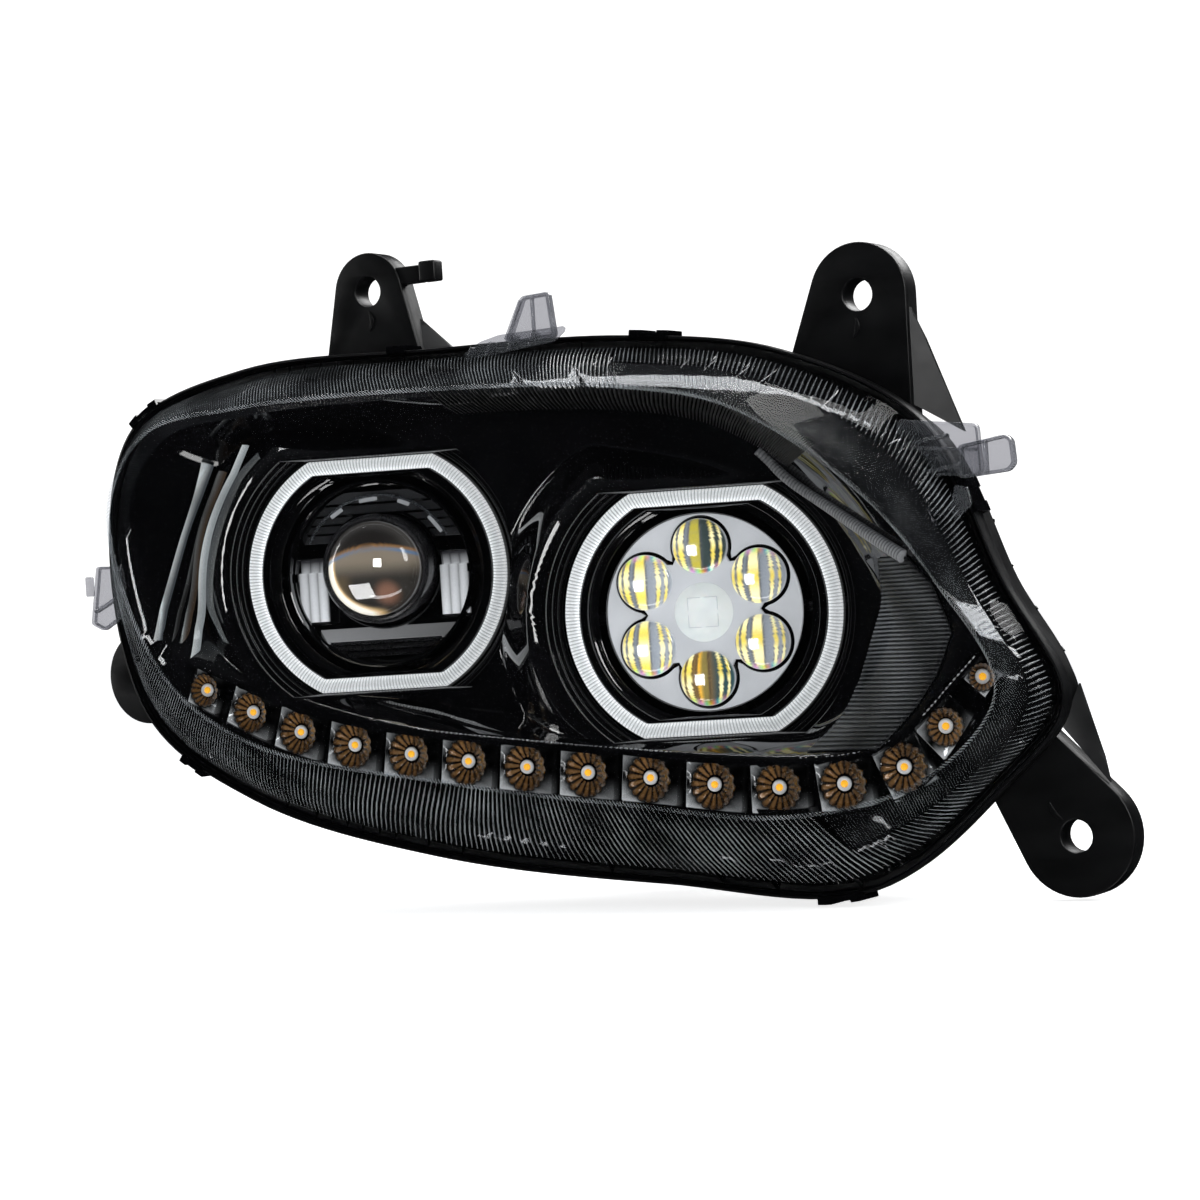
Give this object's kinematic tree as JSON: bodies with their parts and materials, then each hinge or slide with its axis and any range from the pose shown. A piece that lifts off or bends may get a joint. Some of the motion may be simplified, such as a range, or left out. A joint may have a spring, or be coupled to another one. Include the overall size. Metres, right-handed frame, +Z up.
{
  "type": "vehicle headlight assembly",
  "caption": "Swept LED headlight with clear ribbed lens, low-beam projector and clustered high beam in halo rings, amber signal strip, aimable modules and bolt-on brackets.",
  "frame": {"origin": "middle of the rear seat of the upper inboard bracket, 13.5 mm below the centre of its bolt hole", "axes": "-Y forward along both beams, +Z up as installed, +X towards the vehicle's centre line (inboard)"},
  "size_m": [0.6928, 0.3763, 0.4168],
  "materials": {
    "housing_black": "fine moulded texture, satin black polypropylene",
    "sealant": "matt black butyl",
    "lens_clear": "clear hard-coated polycarbonate, polished, with moulded ribs round its side band",
    "bezel_black": "piano black",
    "chrome": "vacuum-metallised plastic",
    "circuit_board": "white solder mask",
    "light_guide": "clear acrylic with fine prisms that make it look white",
    "amber_trim": "tinted metallised plastic",
    "glass": "polished aspheric lens",
    "optic": "moulded clear silicone optic",
    "silver_trim": "satin silver paint",
    "aluminium": "die-cast, bead blasted",
    "steel": "zinc plated",
    "nylon": "natural nylon",
    "rubber": "matt moulded rubber",
    "cable_jacket": "woven-tape wrapped wires",
    "plug_grey": "dark grey moulded plastic"
  },
  "bodies": {
    "lamp": {"rear_housing": "housing_black", "housing_seal": "sealant", "lens_cover": "lens_clear", "bezel": "bezel_black", "signal_reflector": "chrome", "signal_board": "circuit_board", "low_halo_guide": "light_guide", "low_halo_board": "circuit_board", "low_halo_bezel": "bezel_black", "high_halo_guide": "light_guide", "high_halo_board": "circuit_board", "high_halo_bezel": "bezel_black", "brow_trim": "light_guide", "fin_wide": "chrome", "fin_thin": "chrome", "fin_amber": "amber_trim", "fin_inner": "chrome", "side_flute_panel": "silver_trim", "low_pivot_pin_outboard": "steel", "low_pivot_pin_inboard": "steel", "high_pivot_pin_outboard": "steel", "high_pivot_pin_inboard": "steel", "low_aim_bush": "nylon", "high_aim_bush": "nylon", "low_cap_seal": "rubber", "high_cap_seal": "rubber", "vent_cap": "rubber", "led_driver_case": "plug_grey", "led_driver_lid": "aluminium", "cable_grommet": "rubber", "wire_harness": "cable_jacket", "plug_body": "plug_grey", "lens_clip_outboard_upper": "housing_black", "lens_clip_top_outboard": "housing_black", "lens_clip_top_inboard": "housing_black", "lens_clip_side": "housing_black", "lens_clip_bottom": "housing_black", "lens_clip_outboard_lower": "housing_black"},
    "low_module": {"low_module_frame": "bezel_black", "low_upper_louvre": "bezel_black", "low_shelf_reflector": "chrome", "low_side_reflector_left": "chrome", "low_side_reflector_right": "chrome", "low_lens_holder": "bezel_black", "low_projector_lens": "glass", "low_reflector_bowl": "chrome", "low_led_board": "circuit_board", "low_heat_sink": "aluminium", "low_aim_nut": "nylon"},
    "high_module": {"high_module_frame": "bezel_black", "high_trim_plate": "silver_trim", "high_optic": "optic", "high_led_board": "circuit_board", "high_heat_sink": "aluminium", "high_aim_nut": "nylon"},
    "low_adjuster": {"low_aim_screw": "steel"},
    "high_adjuster": {"high_aim_screw": "steel"},
    "low_cap": {"low_dust_cap": "housing_black"},
    "high_cap": {"high_dust_cap": "housing_black"},
    "latch": {"plug_latch": "nylon"}
  },
  "joints": [
    {"name": "low_aim", "type": "hinge", "parent": "lamp", "child": "low_module", "pos_m": [-0.32455, 0.10024, -0.1297], "axis": [1, 0, 0], "range_deg": [-2.5, 2.5]},
    {"name": "low_aim_turn", "type": "hinge", "parent": "lamp", "child": "low_adjuster", "pos_m": [-0.32455, 0.24024, -0.1967], "axis": [0, 1, 0], "range_deg": [-702, 702]},
    {"name": "high_aim", "type": "hinge", "parent": "lamp", "child": "high_module", "pos_m": [-0.1087, 0.02168, -0.1662], "axis": [1, 0, 0], "range_deg": [-2.5, 2.5]},
    {"name": "high_aim_turn", "type": "hinge", "parent": "lamp", "child": "high_adjuster", "pos_m": [-0.1087, 0.16168, -0.2332], "axis": [0, 1, 0], "range_deg": [-702, 702]},
    {"name": "low_cap_turn", "type": "hinge", "parent": "lamp", "child": "low_cap", "pos_m": [-0.31417, 0.21864, -0.1345], "axis": [0.342, 0.9397, 0], "range_deg": [0, 45]},
    {"name": "high_cap_turn", "type": "hinge", "parent": "lamp", "child": "high_cap", "pos_m": [-0.10274, 0.14168, -0.1605], "axis": [0.342, 0.9397, 0], "range_deg": [0, 45]},
    {"name": "plug_latch_lift", "type": "hinge", "parent": "lamp", "child": "latch", "pos_m": [-0.1243, 0.18039, -0.2671], "axis": [-0.342, -0.9397, 0], "range_deg": [0, 12]}
  ],
  "couplings": [
    {"joint": "low_aim_turn", "follows": "low_aim", "ratio": -280.65},
    {"joint": "high_aim_turn", "follows": "high_aim", "ratio": -280.65}
  ]
}
